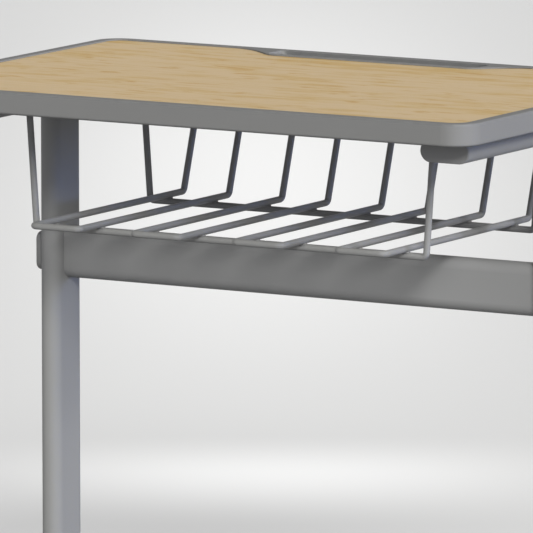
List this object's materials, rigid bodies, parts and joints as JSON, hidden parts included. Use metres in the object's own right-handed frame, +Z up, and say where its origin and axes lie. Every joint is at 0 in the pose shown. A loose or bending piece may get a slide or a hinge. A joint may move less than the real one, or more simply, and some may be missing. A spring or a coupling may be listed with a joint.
{
  "type": "school desk",
  "caption": "School desk with a wood-look top in a moulded grey edge with a pen tray, a wire book basket under it, flat-oval column legs, a cross beam and levelling glides.",
  "frame": {"origin": "on the floor under the middle of the top", "axes": "+X to the right along the desk, +Y from the sitter's side to the back, +Z up"},
  "size_m": [0.75, 0.5, 0.76],
  "materials": {
    "wood_laminate": "satin wood-look sheet",
    "board_core": "raw particle board",
    "backing_sheet": "matt paper sheet",
    "moulded_edge": "fine matt texture",
    "frame_paint": "satin powder coat",
    "basket_paint": "satin powder coat",
    "cap_plastic": "matt",
    "plated_steel": "bright zinc",
    "glide_plastic": "matt"
  },
  "bodies": {
    "frame": {"arm_cap_front_left": "cap_plastic", "arm_cap_front_right": "cap_plastic", "arm_cap_rear_left": "cap_plastic", "arm_cap_rear_right": "cap_plastic", "arm_left": "frame_paint", "arm_right": "frame_paint", "basket_cross_front": "basket_paint", "basket_cross_rear": "basket_paint", "basket_rail": "basket_paint", "basket_screws": "plated_steel", "basket_wire_1": "basket_paint", "basket_wire_2": "basket_paint", "basket_wire_3": "basket_paint", "basket_wire_4": "basket_paint", "beam": "frame_paint", "beam_bolts": "plated_steel", "beam_plug_left": "plated_steel", "beam_plug_right": "plated_steel", "bolt_cover_left": "cap_plastic", "bolt_cover_right": "cap_plastic", "column_left": "frame_paint", "column_right": "frame_paint", "foot_cap_front_left": "cap_plastic", "foot_cap_front_right": "cap_plastic", "foot_cap_rear_left": "cap_plastic", "foot_cap_rear_right": "cap_plastic", "foot_left": "frame_paint", "foot_right": "frame_paint", "glide_nuts": "plated_steel", "hanger_front_left": "basket_paint", "hanger_front_right": "basket_paint", "hanger_rear_left": "basket_paint", "hanger_rear_right": "basket_paint", "top_backing": "backing_sheet", "top_core": "board_core", "top_edge": "moulded_edge", "top_laminate": "wood_laminate", "top_screws": "plated_steel"},
    "glide_front_left": {"glide_front_left": "glide_plastic"},
    "glide_front_right": {"glide_front_right": "glide_plastic"},
    "glide_rear_left": {"glide_rear_left": "glide_plastic"},
    "glide_rear_right": {"glide_rear_right": "glide_plastic"}
  },
  "joints": [
    {"name": "glide_front_left_screw", "type": "slide", "parent": "frame", "child": "glide_front_left", "axis": [0, 0, -1], "range_m": [0, 0.012]},
    {"name": "glide_front_right_screw", "type": "slide", "parent": "frame", "child": "glide_front_right", "axis": [0, 0, -1], "range_m": [0, 0.012]},
    {"name": "glide_rear_left_screw", "type": "slide", "parent": "frame", "child": "glide_rear_left", "axis": [0, 0, -1], "range_m": [0, 0.012]},
    {"name": "glide_rear_right_screw", "type": "slide", "parent": "frame", "child": "glide_rear_right", "axis": [0, 0, -1], "range_m": [0, 0.012]}
  ]
}
